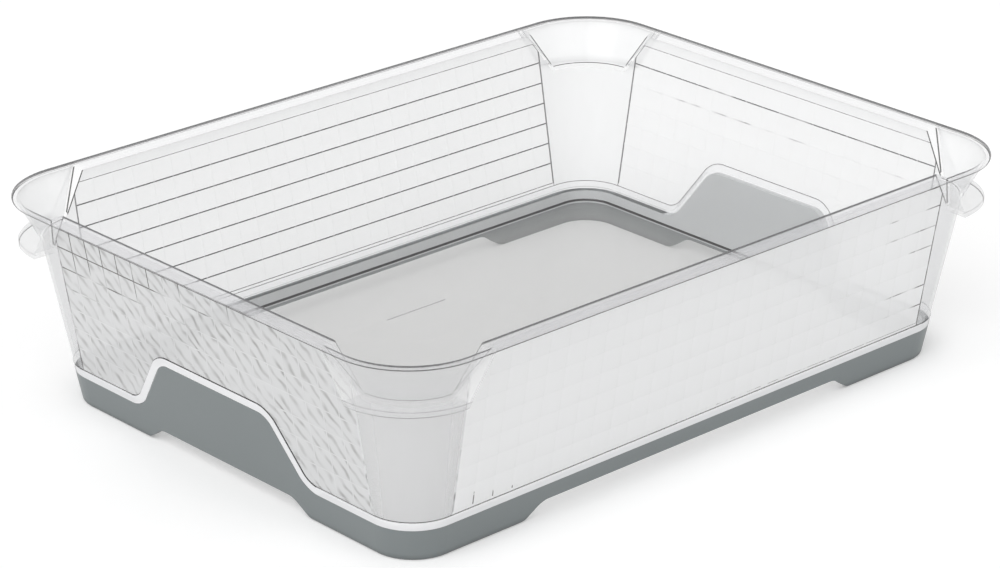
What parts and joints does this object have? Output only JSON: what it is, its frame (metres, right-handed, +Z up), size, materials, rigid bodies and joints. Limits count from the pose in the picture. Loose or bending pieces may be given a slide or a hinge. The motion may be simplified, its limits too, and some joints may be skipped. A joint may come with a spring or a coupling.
{
  "type": "open cat litter tray",
  "caption": "Open cat litter tray: clear tapered tub with patterned walls and corner grips, seated in a grey base frame with raised end panels.",
  "frame": {"origin": "centre of the footprint on the ground, under the four corner feet", "axes": "+X along the length, +Y across the width, +Z up through the open top"},
  "size_m": [0.5, 0.377, 0.131],
  "materials": {
    "base_grey": "satin moulded plastic",
    "tub_clear": "clear moulded plastic, polished, walls with a square relief pattern"
  },
  "bodies": {
    "base": {"base_frame": "base_grey"},
    "tub": {"tub": "tub_clear"}
  },
  "joints": [
    {"name": "tub_lift", "type": "slide", "parent": "base", "child": "tub", "axis": [0, 0, 1], "range_m": [0, 0.15]}
  ]
}
